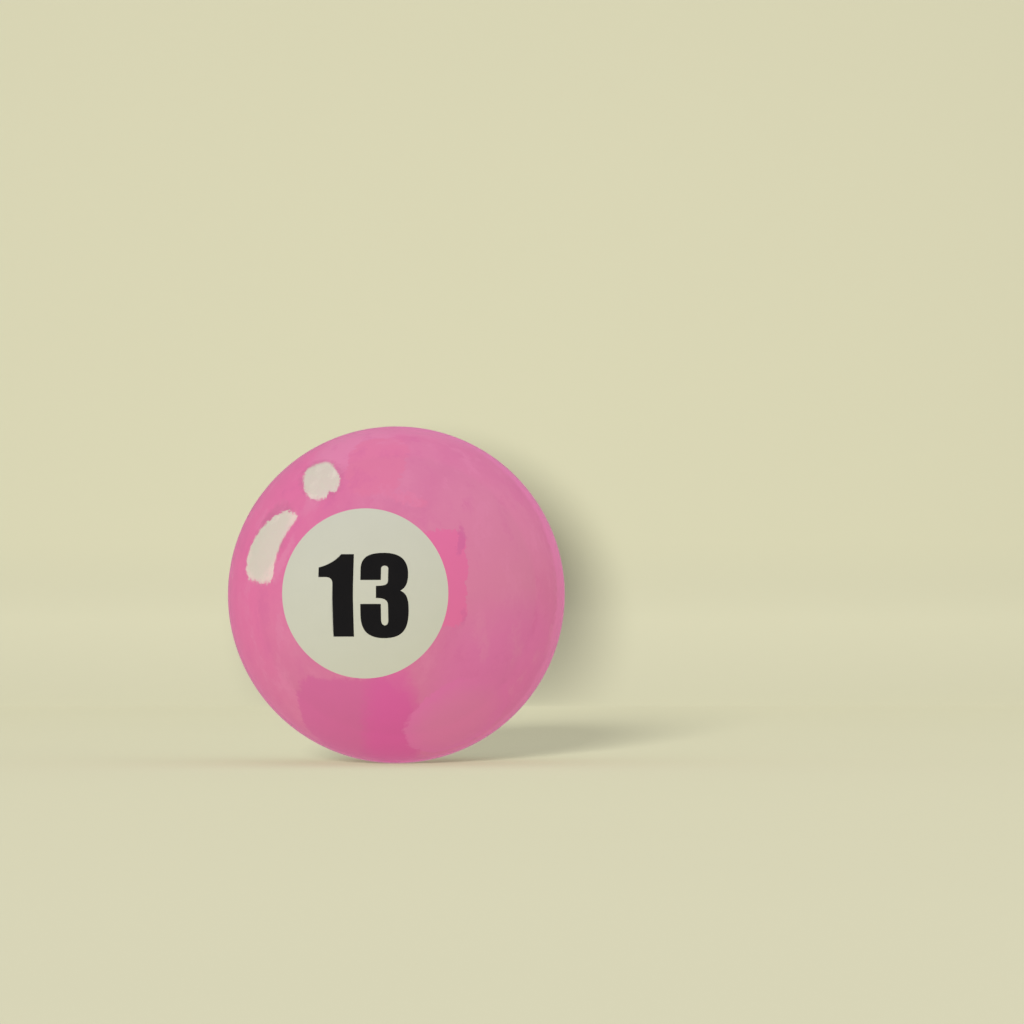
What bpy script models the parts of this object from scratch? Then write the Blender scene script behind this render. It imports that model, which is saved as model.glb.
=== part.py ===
"""A numbered pool ball, 2 1/4 inches across, cast in resin.

The ball is a filler core inside a coloured shell. A round plug comes up through the shell on
each side, and carries a number whose black numerals are let into it. Everything is flush with
the ball's surface.

The origin is the ball's centre. The number axis is Y: the front number faces -Y, the back
number faces +Y, and both read upright with +Z up.
"""

import math

import bmesh
import bpy
from mathutils import Vector

MM = 0.001

BALL_RADIUS = 57.15 / 2 * MM
CORE_RADIUS = 20.4 * MM
PLUG_RADIUS = 13.95 * MM
NUMERAL_FLOOR = 24.0 * MM  # the numerals' flat backs, measured from the ball's centre
GAP = 0.3 * MM  # between neighbouring castings

TURN_STEPS = 48  # facets once round the number axis
SHELL_RINGS = 16  # facets from one plug to the other, over the shell's outside
CORE_RINGS = 18  # facets from pole to pole of the core
PLUG_RINGS = 4  # facets from the middle of a plug's face to its rim
CURVE_STEPS = 6  # straight pieces in one curved stretch of a numeral

SHELL_PINK = (0.60, 0.17, 0.30, 1.0)
PLUG_CREAM = (0.62, 0.60, 0.48, 1.0)
NUMERAL_BLACK = (0.012, 0.012, 0.012, 1.0)
CORE_GREY = (0.42, 0.41, 0.38, 1.0)
POLISHED = 0.08
AS_CAST = 0.5

# Numeral outlines in millimetres from the number axis, to the right and up, anticlockwise.
# A pair is a straight stretch to that point. A triple is a curved stretch: its two handles
# and the point that it ends at.
NUMERALS = {
    "one": [
        (-1.2, 6.4),
        (-3.4, 6.4),
        ((-4.2, 5.4), (-5.6, 4.6), (-7.25, 4.25)),
        (-7.25, 2.65),
        (-5.9, 2.65),
        ((-5.15, 2.6), (-4.75, 2.3), (-4.75, 1.5)),
        (-4.75, -7.1),
        (-1.2, -7.1),
    ],
    "three": [
        (3.4, 2.15),
        (3.4, 4.0),
        ((3.4, 4.65), (4.55, 4.65), (4.55, 4.0)),
        (4.55, 2.2),
        ((4.55, 1.45), (4.25, 1.2), (2.6, 1.2)),
        (2.6, -0.8),
        ((3.9, -0.8), (4.55, -1.05), (4.55, -2.0)),
        (4.55, -4.4),
        ((4.55, -5.55), (3.4, -5.55), (3.4, -4.4)),
        (3.4, -1.75),
        (0.0, -1.75),
        (0.0, -3.6),
        ((0.0, -6.2), (1.2, -7.35), (3.75, -7.35)),
        ((6.6, -7.35), (7.85, -6.1), (7.85, -2.5)),
        ((7.85, -0.9), (7.5, 0.05), (6.55, 0.4)),
        ((7.4, 0.9), (7.75, 1.6), (7.75, 3.0)),
        ((7.75, 5.6), (6.2, 6.6), (3.75, 6.6)),
        ((1.2, 6.6), (0.0, 5.9), (0.0, 3.9)),
        (0.0, 2.15),
    ],
}


def resin(name, colour, roughness):
    material = bpy.data.materials.new(name)
    material.use_nodes = True
    shader = material.node_tree.nodes["Principled BSDF"]
    shader.inputs["Base Color"].default_value = colour
    shader.inputs["Roughness"].default_value = roughness
    shader.inputs["Metallic"].default_value = 0.0
    return material


def add_object(name, mesh_build, material):
    """A linked object from a bmesh, with its faces pointing out."""
    bmesh.ops.recalc_face_normals(mesh_build, faces=mesh_build.faces)
    mesh = bpy.data.meshes.new(name)
    mesh_build.to_mesh(mesh)
    mesh_build.free()
    mesh.shade_smooth()
    mesh.set_sharp_from_angle(angle=math.radians(30))
    if material:
        mesh.materials.append(material)
    piece = bpy.data.objects.new(name, mesh)
    bpy.context.scene.collection.objects.link(piece)
    return piece


def as_cutter(piece):
    piece.hide_render = True
    piece.display_type = "WIRE"
    return piece


def cut(piece, operation, cutter):
    boolean = piece.modifiers.new(cutter.name, "BOOLEAN")
    boolean.operation = operation
    boolean.solver = "EXACT"
    boolean.object = cutter


def arc(radius, start, end, steps):
    """(distance from the number axis, distance along -Y) on a circle round the ball's centre.

    The angles are measured from the front number's middle.
    """
    angles = [start + (end - start) * i / steps for i in range(steps + 1)]
    return [(radius * math.sin(a), radius * math.cos(a)) for a in angles]


def turned(name, profile, closed, material=None):
    """A profile turned once round the number axis."""
    build = bmesh.new()
    corners = [build.verts.new((across, -along, 0)) for across, along in profile]
    edges = [build.edges.new(pair) for pair in zip(corners, corners[1:])]
    if closed:
        edges.append(build.edges.new((corners[-1], corners[0])))
    bmesh.ops.spin(
        build,
        geom=corners + edges,
        cent=(0, 0, 0),
        axis=(0, 1, 0),
        angle=math.tau,
        steps=TURN_STEPS,
    )
    bmesh.ops.remove_doubles(build, verts=build.verts, dist=0.001 * MM)
    return add_object(name, build, material)


def numeral_outline(stretches, grow):
    """A numeral's outline in metres, moved outwards all round by grow."""
    points = []
    for stretch in stretches:
        if len(stretch) == 2:
            points.append(Vector(stretch) * MM)
            continue
        start = points[-1]
        handle_1, handle_2, end = [Vector(p) * MM for p in stretch]
        for i in range(1, CURVE_STEPS + 1):
            t = i / CURVE_STEPS
            points.append(
                (1 - t) ** 3 * start
                + 3 * (1 - t) ** 2 * t * handle_1
                + 3 * (1 - t) * t**2 * handle_2
                + t**3 * end
            )
    moved = []
    for before, here, after in zip(points[-1:] + points, points, points[1:] + points[:1]):
        arriving = (here - before).normalized()
        leaving = (after - here).normalized()
        out_1 = Vector((arriving.y, -arriving.x))
        out_2 = Vector((leaving.y, -leaving.x))
        moved.append(here + grow * (out_1 + out_2) / (1 + out_1.dot(out_2)))
    return moved


def prism(name, outline, near, far, material=None):
    """An outline in the XZ plane drawn out along -Y, from near to far."""
    build = bmesh.new()
    face = build.faces.new([build.verts.new((p.x, -near, p.y)) for p in outline])
    drawn = bmesh.ops.extrude_face_region(build, geom=[face])["geom"]
    ends = [v for v in drawn if isinstance(v, bmesh.types.BMVert)]
    bmesh.ops.translate(build, verts=ends, vec=(0, near - far, 0))
    return add_object(name, build, material)


def inner_core(material):
    return turned("inner_core", arc(CORE_RADIUS, 0, math.pi, CORE_RINGS), False, material)


def colour_shell(material):
    """The coloured casting, with a round hole for a plug on each side."""
    hole = PLUG_RADIUS + GAP / 2
    seat = CORE_RADIUS + GAP
    rim = math.asin(hole / BALL_RADIUS)
    inner_rim = math.asin(hole / seat)
    outside = arc(BALL_RADIUS, rim, math.pi - rim, SHELL_RINGS)
    inside = arc(seat, math.pi - inner_rim, inner_rim, SHELL_RINGS // 2)
    return turned("colour_shell", outside + inside, True, material)


def plug_face():
    rim = math.asin((PLUG_RADIUS - GAP / 2) / BALL_RADIUS)
    return arc(BALL_RADIUS, 0, rim, PLUG_RINGS)


def number_plug(side, material):
    """A plug with the ball's own curve in front and a hollow seat on the core behind."""
    seat = CORE_RADIUS + GAP
    seat_rim = math.asin((PLUG_RADIUS - GAP / 2) / seat)
    profile = plug_face() + arc(seat, seat_rim, 0, PLUG_RINGS)
    return turned(f"number_plug_{side}", profile, False, material)


def number(side, turn, plug_material, numeral_material):
    """One plug and its numerals, under an empty that faces them the right way."""
    facing = bpy.data.objects.new(f"number_{side}", None)
    bpy.context.scene.collection.objects.link(facing)
    facing.rotation_euler.z = turn

    plug = number_plug(side, plug_material)
    plug.parent = facing
    envelope = as_cutter(turned(f"envelope_{side}", plug_face() + [(0, 0)], False))
    envelope.parent = facing

    for numeral, stretches in NUMERALS.items():
        beyond = BALL_RADIUS + 5 * MM
        outline = numeral_outline(stretches, -GAP / 2)
        digit = prism(
            f"digit_{numeral}_{side}", outline, NUMERAL_FLOOR, beyond, numeral_material
        )
        digit.parent = facing
        cut(digit, "INTERSECT", envelope)

        outline = numeral_outline(stretches, GAP / 2)
        pocket = prism(f"pocket_{numeral}_{side}", outline, NUMERAL_FLOOR - GAP, beyond)
        as_cutter(pocket).parent = facing
        cut(plug, "DIFFERENCE", pocket)


def main():
    for piece in list(bpy.data.objects):
        bpy.data.objects.remove(piece, do_unlink=True)

    inner_core(resin("core_resin", CORE_GREY, AS_CAST))
    colour_shell(resin("shell_resin", SHELL_PINK, POLISHED))
    plug_material = resin("plug_resin", PLUG_CREAM, POLISHED)
    numeral_material = resin("numeral_resin", NUMERAL_BLACK, POLISHED)
    number("front", 0, plug_material, numeral_material)
    number("back", math.pi, plug_material, numeral_material)


main()
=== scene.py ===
"""Looks of the numbered pool ball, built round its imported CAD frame.

Each casting is made again as a fine closed mesh with no gap to its neighbours, because the
resin of a real ball is bonded. The number axis is Y, and the front number faces -Y.
Lengths are in metres.
"""

import math

import bmesh
import bpy
from mathutils import Matrix, Vector
from mathutils.geometry import delaunay_2d_cdt


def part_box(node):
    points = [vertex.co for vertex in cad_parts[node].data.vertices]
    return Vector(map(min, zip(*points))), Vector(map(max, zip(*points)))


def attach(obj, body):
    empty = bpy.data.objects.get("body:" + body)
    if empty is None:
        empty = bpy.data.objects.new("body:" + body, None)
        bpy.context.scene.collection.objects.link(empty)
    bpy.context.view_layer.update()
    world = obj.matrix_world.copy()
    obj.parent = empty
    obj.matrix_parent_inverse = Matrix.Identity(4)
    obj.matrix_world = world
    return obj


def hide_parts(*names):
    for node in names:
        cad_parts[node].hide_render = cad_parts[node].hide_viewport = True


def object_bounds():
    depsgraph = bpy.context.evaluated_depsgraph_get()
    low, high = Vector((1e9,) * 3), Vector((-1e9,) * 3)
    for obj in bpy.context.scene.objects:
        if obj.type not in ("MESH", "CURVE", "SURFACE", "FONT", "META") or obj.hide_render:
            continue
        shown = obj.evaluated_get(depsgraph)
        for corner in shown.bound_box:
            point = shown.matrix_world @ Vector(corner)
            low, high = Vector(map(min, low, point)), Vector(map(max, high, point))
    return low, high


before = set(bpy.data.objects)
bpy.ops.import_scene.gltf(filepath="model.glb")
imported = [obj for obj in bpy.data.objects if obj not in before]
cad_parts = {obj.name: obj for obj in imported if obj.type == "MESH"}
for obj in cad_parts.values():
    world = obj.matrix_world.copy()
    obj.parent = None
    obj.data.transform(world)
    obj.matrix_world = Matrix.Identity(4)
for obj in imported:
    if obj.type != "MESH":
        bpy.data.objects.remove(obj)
cad_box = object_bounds()

MM = 0.001
GAP = 0.3 * MM  # the CAD's clearance between castings, which the bonded ball doesn't have
BALL_RADIUS = cad_box[1].x
PLUG_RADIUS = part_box("number_plug_front")[1].x + GAP / 2
SEAT_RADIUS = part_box("inner_core")[1].x + GAP
NUMERAL_FLOOR = -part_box("digit_one_front")[1].y

TURN_STEPS = 192
SHELL_RINGS = 96
SEAT_RINGS = 24
CURVE_STEPS = 20
FACE_GRID = 0.8 * MM  # spacing of the points that carry a plug's curved face

SAME_PLACE = 0.001 * MM  # nearer than this counts as the same place

RESIN_IOR = 1.5
POLISHED = 0.04  # the resin's roughness, and where it is smudged
SMUDGED = 0.09
RIPPLE_DEPTH = 0.01 * MM
BRUSH_SHIFTS = ((5.0, 0.10), (34.0, 0.08))  # noise scale, and how far it moves a wash's edge

# The camera sees the ball from a little to the right of its number axis, level with it.
VIEW_AZIMUTH = math.radians(12)
VIEW_ELEVATION = math.radians(-0.5)
CAMERA_LENS = 150
CAMERA_DISTANCE = 0.725
BALL_LEFT_OF_AXIS = math.radians(1.55)
BALL_BELOW_AXIS = math.radians(1.11)

# Numeral outlines in millimetres from the number axis, to the right and up, anticlockwise.
# A pair is a straight stretch to that point. A triple is a curved stretch: its two handles
# and the point that it ends at.
NUMERALS = {
    "one": [
        (-1.2, 6.4),
        (-3.4, 6.4),
        ((-4.2, 5.4), (-5.6, 4.6), (-7.25, 4.25)),
        (-7.25, 2.65),
        (-5.9, 2.65),
        ((-5.15, 2.6), (-4.75, 2.3), (-4.75, 1.5)),
        (-4.75, -7.1),
        (-1.2, -7.1),
    ],
    "three": [
        (3.4, 2.15),
        (3.4, 4.0),
        ((3.4, 4.65), (4.55, 4.65), (4.55, 4.0)),
        (4.55, 2.2),
        ((4.55, 1.45), (4.25, 1.2), (2.6, 1.2)),
        (2.6, -0.8),
        ((3.9, -0.8), (4.55, -1.05), (4.55, -2.0)),
        (4.55, -4.4),
        ((4.55, -5.55), (3.4, -5.55), (3.4, -4.4)),
        (3.4, -1.75),
        (0.0, -1.75),
        (0.0, -3.6),
        ((0.0, -6.2), (1.2, -7.35), (3.75, -7.35)),
        ((6.6, -7.35), (7.85, -6.1), (7.85, -2.5)),
        ((7.85, -0.9), (7.5, 0.05), (6.55, 0.4)),
        ((7.4, 0.9), (7.75, 1.6), (7.75, 3.0)),
        ((7.75, 5.6), (6.2, 6.6), (3.75, 6.6)),
        ((1.2, 6.6), (0.0, 5.9), (0.0, 3.9)),
        (0.0, 2.15),
    ],
}


# ---------------------------------------------------------------- meshes


def add_piece(name, build, material, turn=0.0):
    """A linked object from a bmesh, turned about Z, with the ball's exact curve in its normals."""
    bmesh.ops.rotate(build, verts=build.verts, matrix=Matrix.Rotation(turn, 3, "Z"))
    mesh = bpy.data.meshes.new(name)
    build.to_mesh(mesh)
    build.free()
    mesh.shade_smooth()
    normals = [None] * len(mesh.loops)
    for polygon in mesh.polygons:
        corners = [mesh.vertices[v].co for v in polygon.vertices]
        on_ball = all(abs(co.length - BALL_RADIUS) < SAME_PLACE for co in corners)
        for loop, co in zip(polygon.loop_indices, corners):
            normals[loop] = co.normalized() if on_ball else polygon.normal
    mesh.normals_split_custom_set(normals)
    mesh.materials.append(material)
    piece = bpy.data.objects.new(name, mesh)
    bpy.context.scene.collection.objects.link(piece)
    return piece


def arc(radius, start, end, steps):
    """(distance from the number axis, distance along -Y) on a circle round the ball's centre."""
    angles = [start + (end - start) * i / steps for i in range(steps + 1)]
    return [(radius * math.sin(a), radius * math.cos(a)) for a in angles]


def shell_mesh():
    """The coloured casting as a turned ring: its outside, its inside and the two plug holes."""
    rim = math.asin(PLUG_RADIUS / BALL_RADIUS)
    inner_rim = math.asin(PLUG_RADIUS / SEAT_RADIUS)
    profile = arc(BALL_RADIUS, rim, math.pi - rim, SHELL_RINGS)
    profile += arc(SEAT_RADIUS, math.pi - inner_rim, inner_rim, SEAT_RINGS)
    build = bmesh.new()
    corners = [build.verts.new((across, -along, 0)) for across, along in profile]
    edges = [build.edges.new(pair) for pair in zip(corners, corners[1:] + corners[:1])]
    bmesh.ops.spin(
        build,
        geom=corners + edges,
        cent=(0, 0, 0),
        axis=(0, 1, 0),
        angle=math.tau,
        steps=TURN_STEPS,
    )
    bmesh.ops.remove_doubles(build, verts=build.verts, dist=SAME_PLACE)
    bmesh.ops.recalc_face_normals(build, faces=build.faces)
    return build


def outline_points(stretches):
    """A numeral's outline in metres, with its curved stretches sampled."""
    points = []
    for stretch in stretches:
        if len(stretch) == 2:
            points.append(Vector(stretch) * MM)
            continue
        start = points[-1]
        handle_1, handle_2, end = [Vector(p) * MM for p in stretch]
        for i in range(1, CURVE_STEPS + 1):
            t = i / CURVE_STEPS
            points.append(
                (1 - t) ** 3 * start
                + 3 * (1 - t) ** 2 * t * handle_1
                + 3 * (1 - t) * t**2 * handle_2
                + t**3 * end
            )
    return points


class PlugFace:
    """A plug's round face in the plane of its number, cut into triangles along the numerals."""

    def __init__(self):
        turns = [math.tau * i / TURN_STEPS for i in range(TURN_STEPS)]
        loops = [[Vector((math.cos(a), math.sin(a))) * PLUG_RADIUS for a in turns]]
        loops += [outline_points(stretches) for stretches in NUMERALS.values()]
        edge = [p for loop in loops for p in loop]
        clear = FACE_GRID / 2
        points = edge + [p for p in self.fill() if min((p - e).length for e in edge) > clear]
        loop_faces, first = [], 0
        for loop in loops:
            loop_faces.append(list(range(first, first + len(loop))))
            first += len(loop)
        found = delaunay_2d_cdt([p / MM for p in points], [], loop_faces, 1, 1e-5, True)
        self.points = [p * MM for p in found[0]]
        self.triangles = found[2]
        # Which loop a triangle belongs to: 0 is the plug's rim, then the numerals in order.
        self.regions = [max(inside) for inside in found[5]]

    def fill(self):
        """Rings of points that let the face follow the ball."""
        for ring in range(int(PLUG_RADIUS / FACE_GRID)):
            radius = ring * FACE_GRID
            count = max(1, round(math.tau * radius / FACE_GRID))
            for i in range(count):
                angle = math.tau * i / count
                yield Vector((math.cos(angle), math.sin(angle))) * radius

    def solid(self, front, back):
        """A closed bmesh of the regions that front and back name.

        front and back give each region's surface: what turns a point of the face into its
        place in the ball. Walls close the steps between surfaces and the outer edge.
        """
        build = bmesh.new()
        made = {}

        def corner(surface, index):
            if (surface, index) not in made:
                made[surface, index] = build.verts.new(surface(self.points[index]))
            return made[surface, index]

        def wall(start, end, upper, lower):
            places = (upper, end), (upper, start), (lower, start), (lower, end)
            build.faces.new([corner(*place) for place in places])

        region_of = {}
        for triangle, region in zip(self.triangles, self.regions):
            for i in range(3):
                region_of[triangle[i - 1], triangle[i]] = region
        for triangle, region in zip(self.triangles, self.regions):
            if region not in front:
                continue
            build.faces.new([corner(front[region], i) for i in triangle])
            build.faces.new([corner(back[region], i) for i in reversed(triangle)])
            for i in range(3):
                start, end = triangle[i - 1], triangle[i]
                beyond = region_of.get((end, start))
                if beyond not in front:
                    wall(start, end, front[region], back[region])
                elif region < beyond and front[beyond] is not front[region]:
                    wall(start, end, front[region], front[beyond])
        return build


def on_ball(p):
    return (p.x, -math.sqrt(BALL_RADIUS**2 - p.length_squared), p.y)


def on_seat(p):
    return (p.x, -math.sqrt(SEAT_RADIUS**2 - p.length_squared), p.y)


def on_numeral_back(p):
    return (p.x, -NUMERAL_FLOOR, p.y)


def on_pocket_floor(p):
    return (p.x, GAP - NUMERAL_FLOOR, p.y)


# ---------------------------------------------------------------- materials


def linear(red, green, blue):
    """A colour given as 0 to 255 display values, for a shader."""
    parts = [c / 255 for c in (red, green, blue)]
    parts = [c / 12.92 if c <= 0.04045 else ((c + 0.055) / 1.055) ** 2.4 for c in parts]
    return (*parts, 1.0)


class Material:
    """A Principled material and the nodes behind it, in ball radii from the ball's centre."""

    def __init__(self, name):
        self.made = bpy.data.materials.new(name)
        self.made.use_nodes = True
        self.tree = self.made.node_tree
        self.shader = self.tree.nodes["Principled BSDF"]
        self.shader.inputs["IOR"].default_value = RESIN_IOR
        place = self.node("TexCoord").outputs["Object"]
        self.point = self.vector("SCALE", place, Scale=1 / BALL_RADIUS)

    def node(self, kind, **settings):
        made = self.tree.nodes.new("ShaderNode" + kind)
        for name, value in settings.items():
            setattr(made, name, value)
        return made

    def feed(self, socket, value):
        if isinstance(value, bpy.types.NodeSocket):
            self.tree.links.new(value, socket)
        else:
            socket.default_value = value

    def vector(self, operation, *values, **named):
        made = self.node("VectorMath", operation=operation)
        for socket, value in zip(made.inputs, values):
            self.feed(socket, value)
        for name, value in named.items():
            self.feed(made.inputs[name], value)
        return made.outputs["Value" if operation == "DOT_PRODUCT" else "Vector"]

    def math(self, operation, *values):
        made = self.node("Math", operation=operation)
        for socket, value in zip(made.inputs, values):
            self.feed(socket, value)
        return made.outputs[0]

    def ramp(self, value, low, high, to_low=0.0, to_high=1.0):
        made = self.node("MapRange", interpolation_type="SMOOTHSTEP")
        for socket, item in zip(made.inputs, (value, low, high, to_low, to_high)):
            self.feed(socket, item)
        return made.outputs["Result"]

    def noise(self, point, scale, detail=2.0, roughness=0.5):
        made = self.node("TexNoise")
        self.feed(made.inputs["Vector"], point)
        made.inputs["Scale"].default_value = scale
        made.inputs["Detail"].default_value = detail
        made.inputs["Roughness"].default_value = roughness
        return made

    def mix(self, share, first, second):
        made = self.node("Mix", data_type="RGBA")
        self.feed(made.inputs[0], share)
        self.feed(made.inputs[6], first)
        self.feed(made.inputs[7], second)
        return made.outputs[2]

    def brushed(self):
        """The point moved about by noise, which gives a wash its uneven, brushed edge."""
        point = self.point
        for scale, reach in BRUSH_SHIFTS:
            noise = self.noise(self.point, scale, detail=3.0, roughness=0.6)
            shift = self.vector("SUBTRACT", noise.outputs["Color"], (0.5, 0.5, 0.5))
            point = self.vector("ADD", point, self.vector("SCALE", shift, Scale=reach))
        return point

    def wash(self, point, longitude, latitude, width, height, lean, corners, edge):
        """1 inside a patch round a direction from the ball's centre, and 0 outside.

        Longitude runs to the right from the front number. width and height are half sizes in
        ball radii, and lean turns them clockwise. corners is 2 for an oval and more for a
        squarer patch. edge is how far the patch fades, as a share of its size.
        """
        turn = Matrix.Rotation(math.radians(longitude), 3, "Z")
        turn @= Matrix.Rotation(-math.radians(latitude), 3, "X")
        turn @= Matrix.Rotation(math.radians(lean), 3, "Y")
        across = self.vector("DOT_PRODUCT", point, turn @ Vector((1 / width, 0, 0)))
        up = self.vector("DOT_PRODUCT", point, turn @ Vector((0, 0, 1 / height)))
        ahead = self.vector("DOT_PRODUCT", point, turn @ Vector((0, -1, 0)))
        parts = [self.math("POWER", self.math("ABSOLUTE", part), corners) for part in (across, up)]
        reach = self.math("ADD", *parts)
        inside = self.ramp(reach, (1 + edge) ** corners, (1 - edge) ** corners)
        return self.math("MULTIPLY", inside, self.math("GREATER_THAN", ahead, 0.0))

    def polish(self):
        """A polished finish with faint smudges and a barely uneven surface."""
        smudge = self.noise(self.point, 3.5, detail=6.0, roughness=0.62).outputs[0]
        self.feed(self.shader.inputs["Roughness"], self.ramp(smudge, 0.4, 0.75, POLISHED, SMUDGED))
        bump = self.node("Bump")
        bump.inputs["Strength"].default_value = 1.0
        bump.inputs["Distance"].default_value = RIPPLE_DEPTH
        ripple = self.noise(self.point, 30.0, detail=2.0, roughness=0.6).outputs[0]
        self.feed(bump.inputs["Height"], ripple)
        self.feed(self.shader.inputs["Normal"], bump.outputs[0])


PINK = linear(213, 119, 153)
VIVID_PINK = linear(224, 112, 154)
PALE_PINK = linear(221, 133, 163)
PAINTED_RIM_LIGHT_PINK = linear(232, 129, 175)
# Lighter pink for the painted rim light along the ball's right outline.
DUSTY_PINK = linear(217, 128, 157)
SOFT_PINK = linear(221, 120, 152)
DUSKY_PINK = linear(206, 111, 145)
LOW_PINK = linear(221, 115, 165)
DEEP_PINK = linear(210, 105, 151)
DEEPEST_PINK = linear(217, 96, 155)

# A wash is a soft patch of another pink: its longitude and latitude in degrees, half width and
# half height in ball radii, lean, corners, edge, strength and colour. It lies over the washes
# before it. These washes lie under the brush strokes.
WASHES = [
    (-52, 30, 0.50, 0.75, 10, 2, 0.50, 0.8, VIVID_PINK),
    (48, 12, 0.32, 0.50, 0, 2, 0.40, 0.9, DUSTY_PINK),
    (60, -28, 0.40, 0.35, 0, 2, 0.60, 0.8, LOW_PINK),
    (-20, 60, 0.22, 0.24, -20, 2, 0.35, 0.9, PALE_PINK),
    (5, 78, 0.45, 0.14, 0, 2, 0.40, 0.6, PALE_PINK),
    (24, 52, 0.12, 0.20, 25, 2, 0.40, 0.5, DUSTY_PINK),
    (-30, 12, 0.025, 0.12, 20, 2, 0.60, 0.6, PALE_PINK),
    (-22, 33, 0.04, 0.10, 30, 2, 0.60, 0.5, PALE_PINK),
    (2, 50, 0.17, 0.27, 0, 3, 0.10, 0.9, SOFT_PINK),
    (16, 33, 0.10, 0.03, 20, 2, 0.40, 0.9, SOFT_PINK),
]
# Slightly duller pink on the front, where the camera sees the two highlights. It keeps them
# cream, because the softboxes' light adds to the pink.
FRONT_WASHES = [
    (-24.6, 42.5, 0.12, 0.185, -48, 2, 0.25, 1.0, DUSKY_PINK),
    (-40.5, 18.2, 0.135, 0.235, 13, 2.5, 0.18, 1.0, DUSKY_PINK),
]
# The washes that lie over the brush strokes.
PATCHES = [
    (27, 5, 0.155, 0.28, 0, 6, 0.03, 1.0, VIVID_PINK),
    (34.5, 18, 0.020, 0.07, 15, 2, 0.40, 0.8, DEEP_PINK),
    (35, -8, 0.015, 0.04, 0, 2, 0.40, 0.5, DEEP_PINK),
    (-9, -52, 0.36, 0.39, 0, 2.8, 0.04, 1.0, DEEP_PINK),
    (10, -58, 0.14, 0.46, 0, 2.5, 0.50, 1.0, DEEPEST_PINK),
    (45, -48, 0.31, 0.33, 10, 2.2, 0.04, 1.0, LOW_PINK),
    (45, -48, 0.22, 0.25, 10, 2, 0.50, 0.5, DUSTY_PINK),
]
# A painted rim light: lighter pink along the ball's right outline as the camera sees it, on the
# front only.
PAINTED_RIM_LIGHT_WASHES = [(102, 0, 0.34, 1.15, 0, 2, 0.10, 0.65, PAINTED_RIM_LIGHT_PINK)]

# Where a side's washes go: degrees round the ball, and 1 for upright or -1 for upside down.
FRONT = (0, 1)
BACK = (180, -1)


def washed(look, brushed, colour, washes, *sides):
    """The colour with the washes over it on each of these sides."""
    for longitude, latitude, *shape, strength, wash_colour in washes:
        for around, over in sides:
            inside = look.wash(brushed, longitude + around, latitude * over, *shape)
            colour = look.mix(look.math("MULTIPLY", inside, strength), colour, wash_colour)
    return colour


def shell_resin():
    """Pink resin with cloudy patches, brush strokes and washes, and a painted rim light along the
    right outline.
    """
    look = Material("shell_resin_look")
    cloud = look.noise(look.point, 2.2, detail=5.0, roughness=0.6).outputs[0]
    colour = look.mix(look.ramp(cloud, 0.42, 0.68), PINK, DUSTY_PINK)
    brushed = look.brushed()
    colour = washed(look, brushed, colour, WASHES, FRONT, BACK)
    colour = washed(look, brushed, colour, FRONT_WASHES, FRONT)
    upright = look.vector("MULTIPLY", brushed, (1.0, 1.0, 0.45))
    strokes = look.noise(upright, 7.0, detail=4.0, roughness=0.6).outputs[0]
    colour = look.mix(look.ramp(strokes, 0.52, 0.72, 0.0, 0.55), colour, PALE_PINK)
    colour = look.mix(look.ramp(strokes, 0.48, 0.28, 0.0, 0.40), colour, DEEP_PINK)
    colour = washed(look, brushed, colour, PATCHES, FRONT, BACK)
    # The painted rim light: lighter pink along the right outline as the camera sees it.
    colour = washed(look, brushed, colour, PAINTED_RIM_LIGHT_WASHES, FRONT)
    look.feed(look.shader.inputs["Base Color"], colour)
    look.polish()
    return look.made


def plug_resin():
    look = Material("plug_resin_look")
    cloud = look.noise(look.point, 5.0, detail=4.0).outputs[0]
    colour = look.mix(cloud, linear(205, 204, 182), linear(201, 200, 177))
    look.feed(look.shader.inputs["Base Color"], colour)
    look.polish()
    return look.made


def numeral_resin():
    look = Material("numeral_resin_look")
    cloud = look.noise(look.point, 8.0, detail=4.0).outputs[0]
    colour = look.mix(cloud, linear(6, 6, 7), linear(16, 14, 13))
    look.feed(look.shader.inputs["Base Color"], colour)
    look.polish()
    return look.made


def core_resin():
    """The filler inside the ball: grainy, with flecks."""
    look = Material("core_resin_look")
    grain = look.noise(look.point, 30.0, detail=6.0, roughness=0.7).outputs[0]
    colour = look.mix(look.ramp(grain, 0.35, 0.65), linear(150, 147, 138), linear(188, 185, 175))
    look.feed(look.shader.inputs["Base Color"], colour)
    look.feed(look.shader.inputs["Roughness"], look.ramp(grain, 0.3, 0.7, 0.45, 0.65))
    return look.made


# ---------------------------------------------------------------- the ball


def belongs(piece, node):
    """Puts a piece in the place of its CAD node."""
    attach(piece, "root")
    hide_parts(node)
    return piece


def build_ball():
    shell = add_piece("shell", shell_mesh(), shell_resin())
    pieces = [belongs(shell, "colour_shell")]
    face = PlugFace()
    cream = plug_resin()
    black = numeral_resin()
    for side, turn in (("front", 0.0), ("back", math.pi)):
        numerals = range(1, len(NUMERALS) + 1)
        front = {0: on_ball} | {region: on_pocket_floor for region in numerals}
        back = {0: on_seat} | {region: on_seat for region in numerals}
        plug = add_piece(f"plug_{side}", face.solid(front, back), cream, turn)
        pieces.append(belongs(plug, f"number_plug_{side}"))
        for region, numeral in zip(numerals, NUMERALS):
            build = face.solid({region: on_ball}, {region: on_numeral_back})
            piece = add_piece(f"numeral_{numeral}_{side}", build, black, turn)
            pieces.append(belongs(piece, f"digit_{numeral}_{side}"))
    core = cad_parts["inner_core"]
    core.data.materials.clear()
    core.data.materials.append(core_resin())
    return pieces + [core]


# ---------------------------------------------------------------- the studio

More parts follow.
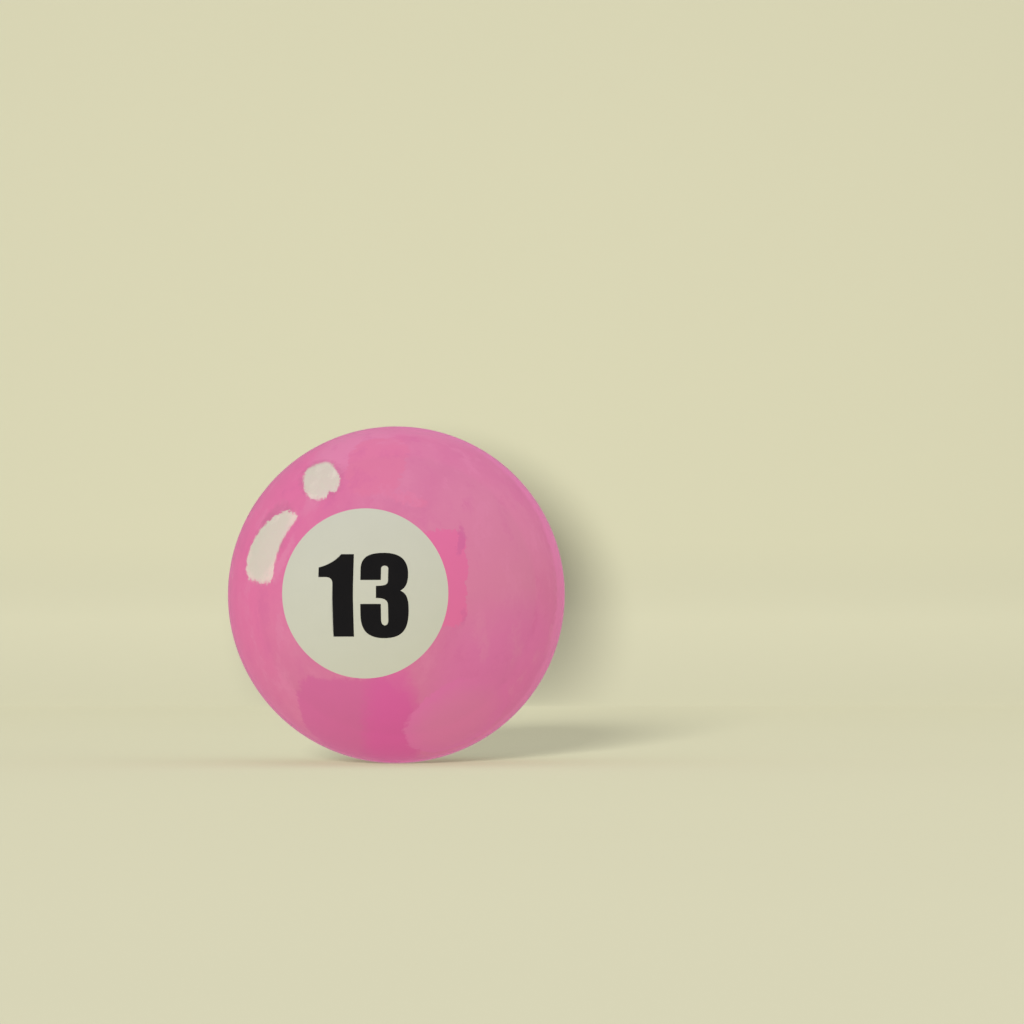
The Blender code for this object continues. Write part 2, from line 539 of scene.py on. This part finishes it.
CAMERA_BACK = Vector(
    (
        math.sin(VIEW_AZIMUTH) * math.cos(VIEW_ELEVATION),
        -math.cos(VIEW_AZIMUTH) * math.cos(VIEW_ELEVATION),
        math.sin(VIEW_ELEVATION),
    )
)
UP = Vector((0, 0, 1))
CAMERA_PLACE = CAMERA_BACK * CAMERA_DISTANCE
CAMERA_RIGHT = Vector((math.cos(VIEW_AZIMUTH), math.sin(VIEW_AZIMUTH), 0))
CAMERA_UP = CAMERA_BACK.cross(CAMERA_RIGHT)

STAGE_CREAM = (0.248, 0.240, 0.165, 1.0)
STAGE_CREAM_DARK = (0.243, 0.235, 0.162, 1.0)
CREAM_AIR = (0.70, 0.68, 0.47, 1.0)  # what the camera sees past the stage
REFLECTED_AIR = (0.22, 0.21, 0.21, 1.0)  # what the ball reflects besides the softboxes
CURVE_EXTRA = 0.46  # how much more light the curve between floor and wall gets
WALL_DISTANCE = 0.6
SWEEP_RADIUS = 0.05
SWEEP_STEPS = 32
STAGE_REACH = 1.4

KEY_SIZE = 31 * MM
KEY_DISTANCE = 0.73
KEY_OFFSET = 12.5 * MM  # left of the camera and above it, to set the shadow off
WORLD_STRENGTH = 1.12
WORLD_COLOUR = (1.0, 1.0, 1.13, 1.0)  # makes up for the yellow light off the stage
KEY_POWER = 34.5
WALL_TOP_STRENGTH = 5.7
FLOOR_TOP_STRENGTH = 3.0
FLOOR_LOW_STRENGTH = 18.0
FLOOR_LOW_RISE = 0.16  # how far the low light is above the camera, per metre back
FLOOR_LOW_LEFT = 0.14  # and to its left
FLOOR_LOW_SPREAD = math.radians(8)
FILL_STRENGTH = 0.85
FILL_COLOUR = (0.9, 0.97, 1.25)
FILL_SPREAD = math.radians(60)
BACK_STRENGTH = 0.28
BACK_COLOUR = (0.95, 0.97, 1.08)
BACK_SPREAD = math.radians(90)
RIM_STRENGTH = 1.05
RIM_COLOUR = (1.0, 0.04, 0.42)
RIM_SPREAD = math.radians(140)

SOFTBOX_DISTANCE = 0.9
SOFTBOX_COLOUR = (0.17, 1.0, 0.48, 1.0)
HIGHLIGHT = 0.44  # how bright the reflected softboxes look
PANEL_RINGS = 8
PANEL_SIDES = 240
# Where the two highlights show on the ball's disc. OUT is how far from the disc's middle, as a
# share of its radius, CLOCK is the angle in degrees from the right, and HALF_OUT and HALF_CLOCK
# are half the highlight's size.
ROUND_OUT = 0.808
ROUND_CLOCK = 123.3
ROUND_HALF_OUT = 0.107
ROUND_HALF_CLOCK = 7.8
LONG_OUT = 0.828
LONG_CLOCK = 157.8
LONG_HALF_OUT = 0.077
LONG_HALF_CLOCK = 17
LONG_DRIFT = 0.018  # how much further out its larger angle is
LONG_BEND = 0.035  # how much further in its ends are
LONG_WIDENING = 0.01  # how much wider it is at its larger angle


def add_camera():
    camera = bpy.data.objects.new("camera", bpy.data.cameras.new("camera"))
    bpy.context.scene.collection.objects.link(camera)
    camera.data.lens = CAMERA_LENS
    camera.data.clip_start = 0.01
    aim = (-CAMERA_BACK).to_track_quat("-Z", "Y").to_matrix().to_4x4()
    aim @= Matrix.Rotation(-BALL_LEFT_OF_AXIS, 4, "Y") @ Matrix.Rotation(BALL_BELOW_AXIS, 4, "X")
    camera.matrix_world = Matrix.Translation(CAMERA_PLACE) @ aim
    bpy.context.scene.camera = camera
    bpy.context.scene.view_settings.view_transform = "Standard"


def stage_look():
    """Matt cream paper, darker where it curves, because there the lights add up."""
    look = Material("stage_look")
    cloud = look.noise(look.point, 0.25, detail=2.0).outputs[0]
    cream = look.mix(cloud, STAGE_CREAM, STAGE_CREAM_DARK)
    slope = look.node("SeparateXYZ")
    look.feed(slope.inputs[0], look.node("NewGeometry").outputs["Normal"])
    level = look.math("ABSOLUTE", slope.outputs[2])
    upright = look.math("SQRT", look.math("SUBTRACT", 1.0, look.math("MULTIPLY", level, level)))
    curve = look.math("SUBTRACT", look.math("ADD", level, upright), 1.0)
    extra = look.math("MULTIPLY", curve, look.math("ADD", level, 1.0))
    light = look.math("MULTIPLY_ADD", extra, CURVE_EXTRA, 1.0)
    look.feed(
        look.shader.inputs["Base Color"],
        look.vector("SCALE", cream, Scale=look.math("DIVIDE", 1.0, light)),
    )
    look.shader.inputs["Roughness"].default_value = 0.9
    look.shader.inputs["Specular IOR Level"].default_value = 0.0
    return look.made


def add_stage(name, profile, material):
    """A strip of stage across the view, along (distance behind the ball, height) places."""
    build = bmesh.new()
    left, right = [
        [build.verts.new((x, y, z - BALL_RADIUS)) for y, z in profile]
        for x in (-STAGE_REACH, STAGE_REACH)
    ]
    for i in range(len(profile) - 1):
        build.faces.new((left[i], right[i], right[i + 1], left[i + 1]))
    mesh = bpy.data.meshes.new(name)
    build.to_mesh(mesh)
    build.free()
    mesh.shade_smooth()
    mesh.transform(Matrix.Rotation(VIEW_AZIMUTH, 4, "Z"))
    mesh.materials.append(material)
    stage = bpy.data.objects.new(name, mesh)
    bpy.context.scene.collection.objects.link(stage)
    stage.visible_glossy = False
    return stage


def add_world():
    """Even soft light from all round, dimmer in reflections, and cream where the camera sees it."""
    world = bpy.data.worlds.new("studio")
    bpy.context.scene.world = world
    world.use_nodes = True
    tree = world.node_tree
    light = tree.nodes["Background"]
    light.inputs["Color"].default_value = WORLD_COLOUR
    light.inputs["Strength"].default_value = WORLD_STRENGTH
    paths = tree.nodes.new("ShaderNodeLightPath")
    result = light.outputs[0]
    for ray, colour in (("Is Glossy Ray", REFLECTED_AIR), ("Is Camera Ray", CREAM_AIR)):
        seen = tree.nodes.new("ShaderNodeBackground")
        seen.inputs["Color"].default_value = colour
        choice = tree.nodes.new("ShaderNodeMixShader")
        tree.links.new(paths.outputs[ray], choice.inputs[0])
        tree.links.new(result, choice.inputs[1])
        tree.links.new(seen.outputs[0], choice.inputs[2])
        result = choice.outputs[0]
    tree.links.new(result, tree.nodes["World Output"].inputs[0])


def group(name, members):
    made = bpy.data.collections.new(name)
    for member in members:
        made.objects.link(member)
    return made


def add_light(name, kind, place, energy, lit, blockers, gloss_only=False, **settings):
    """A light towards the ball that falls on some objects alone.

    It shows in no reflection, or with gloss_only in reflections alone.
    """
    data = bpy.data.lights.new(name, kind)
    data.energy = energy
    for key, value in settings.items():
        setattr(data, key, value)
    light = bpy.data.objects.new(name, data)
    bpy.context.scene.collection.objects.link(light)
    light.location = place
    light.rotation_euler = (-Vector(place)).to_track_quat("-Z", "Y").to_euler()
    light.light_linking.receiver_collection = lit
    light.light_linking.blocker_collection = blockers
    light.visible_camera = False
    light.visible_diffuse = not gloss_only
    light.visible_glossy = gloss_only


def mirrored(out, angle):
    """Where a lamp stands whose reflection the camera sees at this place on the ball's disc.

    Also gives the share of the lamp's light that the polished resin reflects there.
    """
    seen = CAMERA_RIGHT * (out * math.cos(angle)) + CAMERA_UP * (out * math.sin(angle))
    ray = (seen - CAMERA_PLACE).normalized()
    middle = -CAMERA_PLACE.dot(ray)
    nearest = (CAMERA_PLACE + ray * middle).length
    surface = CAMERA_PLACE + ray * (middle - math.sqrt(BALL_RADIUS**2 - nearest**2))
    normal = surface.normalized()
    # Fresnel's equations, from the ray's slant (the cosine) outside and inside the resin.
    outside = -ray.dot(normal)
    inside = math.sqrt(1 - (1 - outside**2) / RESIN_IOR**2)
    across = (outside - RESIN_IOR * inside) / (outside + RESIN_IOR * inside)
    along = (inside - RESIN_IOR * outside) / (inside + RESIN_IOR * outside)
    return surface + ray.reflect(normal) * SOFTBOX_DISTANCE, (across**2 + along**2) / 2


def add_softbox(name, reach, place):
    """A glowing panel that the ball reflects as one even highlight.

    reach gives how far its outline is from its middle in a direction, about 1 all round, and
    place turns steps along it and out from its middle into a place on the ball's disc: how far
    out, as a share of the disc, and its angle in degrees from the right.
    """
    build = bmesh.new()
    glow = build.verts.layers.float.new("glow")

    def corner(along, out):
        radius, clock = place(along, out)
        lamp, reflected = mirrored(BALL_RADIUS * radius, math.radians(clock))
        vertex = build.verts.new(lamp)
        vertex[glow] = HIGHLIGHT / reflected
        return vertex

    made = [corner(0, 0)]
    for ring in range(1, PANEL_RINGS + 1):
        for side in range(PANEL_SIDES):
            turn = math.tau * side / PANEL_SIDES
            far = reach(turn) * ring / PANEL_RINGS
            made.append(corner(math.cos(turn) * far, math.sin(turn) * far))
    for side in range(PANEL_SIDES):
        after = (side + 1) % PANEL_SIDES
        build.faces.new((made[0], made[1 + side], made[1 + after]))
        for ring in range(PANEL_RINGS - 1):
            a, b = 1 + ring * PANEL_SIDES, 1 + (ring + 1) * PANEL_SIDES
            build.faces.new((made[a + side], made[b + side], made[b + after], made[a + after]))
    mesh = bpy.data.meshes.new(name)
    build.to_mesh(mesh)
    build.free()
    lamp = bpy.data.materials.new(name)
    lamp.use_nodes = True
    tree = lamp.node_tree
    tree.nodes.remove(tree.nodes["Principled BSDF"])
    shader = tree.nodes.new("ShaderNodeEmission")
    shader.inputs["Color"].default_value = SOFTBOX_COLOUR
    strength = tree.nodes.new("ShaderNodeAttribute")
    strength.attribute_name = "glow"
    tree.links.new(strength.outputs["Fac"], shader.inputs["Strength"])
    tree.links.new(shader.outputs[0], tree.nodes["Material Output"].inputs["Surface"])
    mesh.materials.append(lamp)
    panel = bpy.data.objects.new(name, mesh)
    bpy.context.scene.collection.objects.link(panel)
    panel.visible_camera = False
    panel.visible_diffuse = False
    panel.visible_shadow = False


def jagged(turn):
    """A small uneven step in or out, for the torn edge of a highlight."""
    waves = math.sin(29 * turn) + math.sin(47 * turn + 1) + math.sin(5 * turn + 2)
    return 0.03 * waves


def bump_at(turn, middle, width):
    """1 at an angle in degrees round an outline, fading to 0 either side."""
    away = (math.degrees(turn) - middle + 180) % 360 - 180
    return math.exp(-((away / width) ** 2))


def round_reach(turn):
    """Nearly round, drawn out at the lower right and notched at the bottom."""
    return 1 + 0.12 * bump_at(turn, -24, 28) - 0.33 * bump_at(turn, -88, 14) + jagged(turn)


def round_place(along, out):
    return ROUND_OUT + ROUND_HALF_OUT * out, ROUND_CLOCK + ROUND_HALF_CLOCK * along


def long_reach(turn):
    """Rounded at the end with the smaller angle and nearly square at the other."""
    corners = 6 if math.cos(turn) > 0 else 2.1
    across = abs(math.cos(turn)) ** corners + abs(math.sin(turn)) ** corners
    return across ** (-1 / corners) + jagged(turn)


def long_place(along, out):
    """Bent inwards at its ends, and a little wider at the larger angle."""
    middle = LONG_OUT + LONG_DRIFT * along - LONG_BEND * along**2
    half = LONG_HALF_OUT + LONG_WIDENING * along
    return middle + half * out, LONG_CLOCK + LONG_HALF_CLOCK * along


def build_stage():
    """The floor, and the wall with the curve at its foot."""
    look = stage_look()
    start = WALL_DISTANCE - SWEEP_RADIUS
    turns = [math.pi / 2 * i / SWEEP_STEPS for i in range(SWEEP_STEPS + 1)]
    sweep = [(start + SWEEP_RADIUS * math.sin(a), SWEEP_RADIUS * (1 - math.cos(a))) for a in turns]
    floor = add_stage("floor", [(-STAGE_REACH, 0.0), (start, 0.0)], look)
    wall = add_stage("wall", sweep + [(WALL_DISTANCE, STAGE_REACH)], look)
    return floor, wall


def light_stage(floor, wall, pieces):
    """Even light on the floor and the wall, with the ball's two soft shadows."""
    wall_only = group("wall_only", [wall])
    floor_only = group("floor_only", [floor])
    key = CAMERA_BACK * KEY_DISTANCE + (CAMERA_UP - CAMERA_RIGHT) * KEY_OFFSET
    low = CAMERA_BACK + UP * FLOOR_LOW_RISE - CAMERA_RIGHT * FLOOR_LOW_LEFT
    add_light("key", "AREA", key, KEY_POWER, wall_only, pieces, shape="DISK", size=KEY_SIZE)
    add_light("wall_top", "SUN", UP, WALL_TOP_STRENGTH, wall_only, wall_only)
    add_light("floor_top", "SUN", UP, FLOOR_TOP_STRENGTH, floor_only, floor_only)
    add_light(
        "floor_low", "SUN", low, FLOOR_LOW_STRENGTH, floor_only, pieces, angle=FLOOR_LOW_SPREAD
    )


def light_ball(ball, pieces):
    """Broad soft light on the ball, a pink glow along its outline and the two softboxes."""
    fill = CAMERA_BACK * 0.5 - UP * 0.8 - CAMERA_RIGHT * 0.5  # low in front, to the left
    back = UP * 0.3 - CAMERA_BACK  # behind the ball and a little above it
    shell_only = group("shell_only", ball[:1])
    add_light(
        "fill",
        "SUN",
        fill,
        FILL_STRENGTH,
        pieces,
        pieces,
        angle=FILL_SPREAD,
        color=FILL_COLOUR,
    )
    add_light(
        "back",
        "SUN",
        back,
        BACK_STRENGTH,
        pieces,
        pieces,
        angle=BACK_SPREAD,
        color=BACK_COLOUR,
    )
    add_light(
        "rim",
        "SUN",
        -CAMERA_BACK,
        RIM_STRENGTH,
        shell_only,
        shell_only,
        gloss_only=True,
        angle=RIM_SPREAD,
        color=RIM_COLOUR,
    )
    add_softbox("round_panel", round_reach, round_place)
    add_softbox("long_panel", long_reach, long_place)


def build_studio(ball):
    add_camera()
    add_world()
    floor, wall = build_stage()
    pieces = group("ball_pieces", ball)
    light_stage(floor, wall, pieces)
    light_ball(ball, pieces)


build_studio(build_ball())
